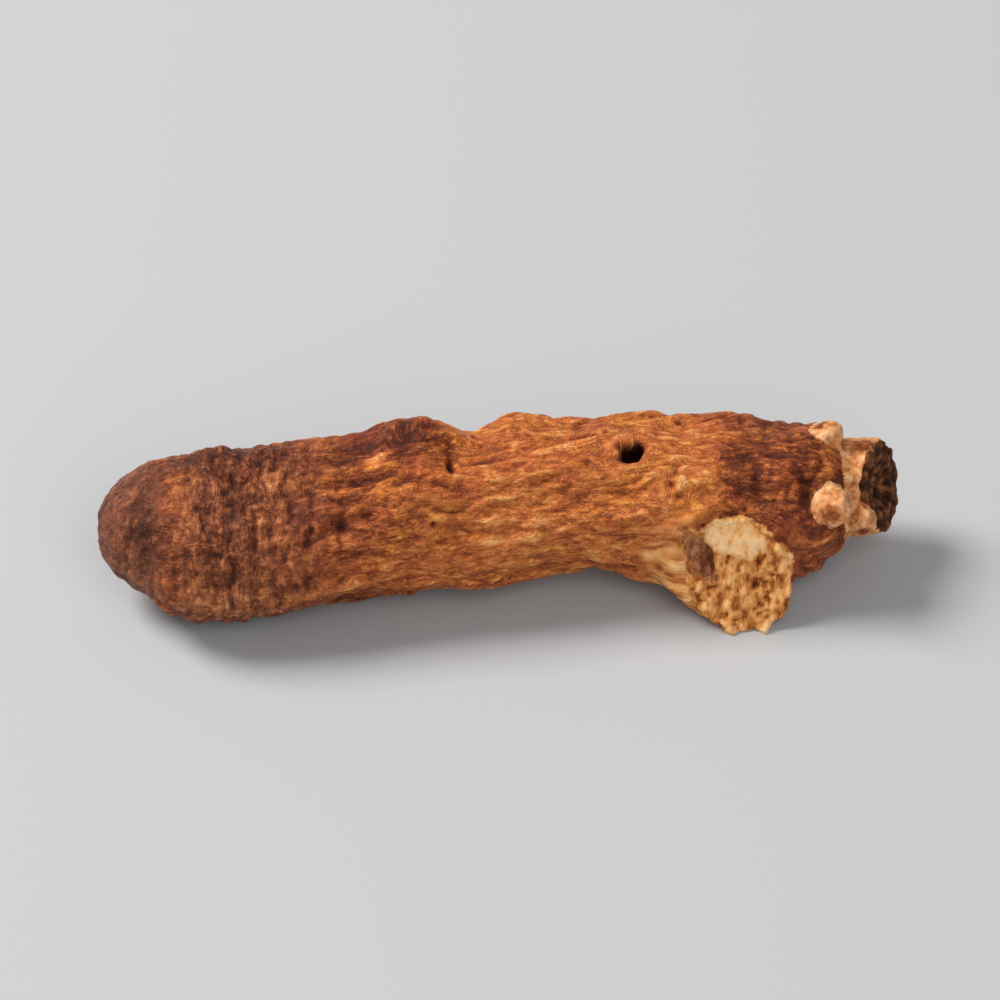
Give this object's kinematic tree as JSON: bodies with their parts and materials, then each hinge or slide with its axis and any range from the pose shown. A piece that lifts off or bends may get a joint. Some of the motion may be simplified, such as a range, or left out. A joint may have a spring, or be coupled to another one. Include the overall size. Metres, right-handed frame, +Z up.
{
  "type": "dried solomon's seal root",
  "caption": "Knobbly dried rhizome lying on its side, with a blunt ringed tip, wrinkled swollen waist, torn side stump, unbroken side bud, withered stem stub and small buds.",
  "frame": {"origin": "bottom centre of the root's bounding box, on the surface that it lies on", "axes": "+X along the root from its blunt growing tip to its withered stem stub, +Z up, with the torn side stump facing -Y"},
  "size_m": [0.0792, 0.0264, 0.0173],
  "materials": {
    "root_skin": "dry wrinkled brown skin with a faint waxy sheen, cream and tan where it is torn"
  },
  "bodies": {
    "root": {"root": "root_skin"}
  },
  "joints": []
}
